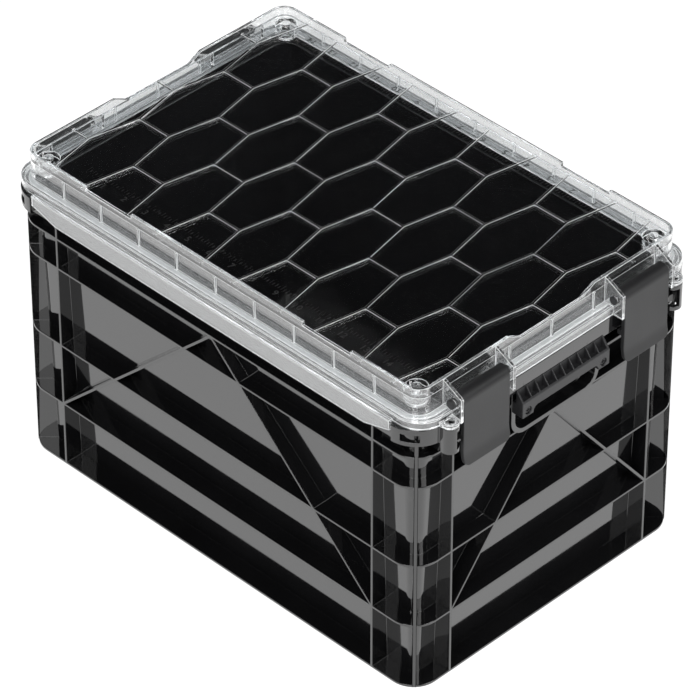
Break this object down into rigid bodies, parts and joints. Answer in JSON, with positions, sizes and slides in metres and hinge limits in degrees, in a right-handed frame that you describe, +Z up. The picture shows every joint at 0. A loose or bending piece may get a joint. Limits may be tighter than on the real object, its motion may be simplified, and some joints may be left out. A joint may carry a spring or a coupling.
{
  "type": "storage crate",
  "caption": "Ribbed moulded storage crate with a clear hinged lid, swing latches at the front and a carrying handle at each end.",
  "frame": {"origin": "middle of the crate on the floor that it stands on", "axes": "+X to the latch end along the length, +Y across, +Z up"},
  "size_m": [0.503, 0.328, 0.3096],
  "materials": {
    "tub_plastic": "smooth glossy black moulding",
    "handle_plastic": "satin dark grey moulding",
    "latch_plastic": "satin black moulding",
    "lid_clear": "clear see-through moulding",
    "seal_rubber": "plain soft pale seal",
    "screw_steel": "plain blackened steel"
  },
  "bodies": {
    "tub": {"crate_tub": "tub_plastic", "front_handle": "handle_plastic", "rear_handle": "handle_plastic", "front_handle_screws": "screw_steel", "rear_handle_screws": "screw_steel", "hinge_block_left": "latch_plastic", "hinge_block_right": "latch_plastic", "hinge_screws_left": "screw_steel", "hinge_screws_right": "screw_steel"},
    "lid": {"lid_shell": "lid_clear", "lid_gasket": "seal_rubber", "latch_pin_left": "screw_steel", "latch_pin_right": "screw_steel", "latch_pin_caps": "latch_plastic", "hinge_pin_left": "screw_steel", "hinge_pin_right": "screw_steel", "hinge_pin_caps": "latch_plastic"},
    "latch_left_lever": {"latch_left": "latch_plastic"},
    "latch_right_lever": {"latch_right": "latch_plastic"}
  },
  "joints": [
    {"name": "lid_hinge", "type": "hinge", "parent": "tub", "child": "lid", "pos_m": [-0.246, 0, 0.2855], "axis": [0, -1, 0], "range_deg": [0, 105]},
    {"name": "latch_left_swing", "type": "hinge", "parent": "lid", "child": "latch_left_lever", "pos_m": [0.2405, -0.0935, 0.2908], "axis": [0, -1, 0], "range_deg": [-4.2, 110]},
    {"name": "latch_right_swing", "type": "hinge", "parent": "lid", "child": "latch_right_lever", "pos_m": [0.2405, 0.0935, 0.2908], "axis": [0, -1, 0], "range_deg": [-4.2, 110]}
  ]
}
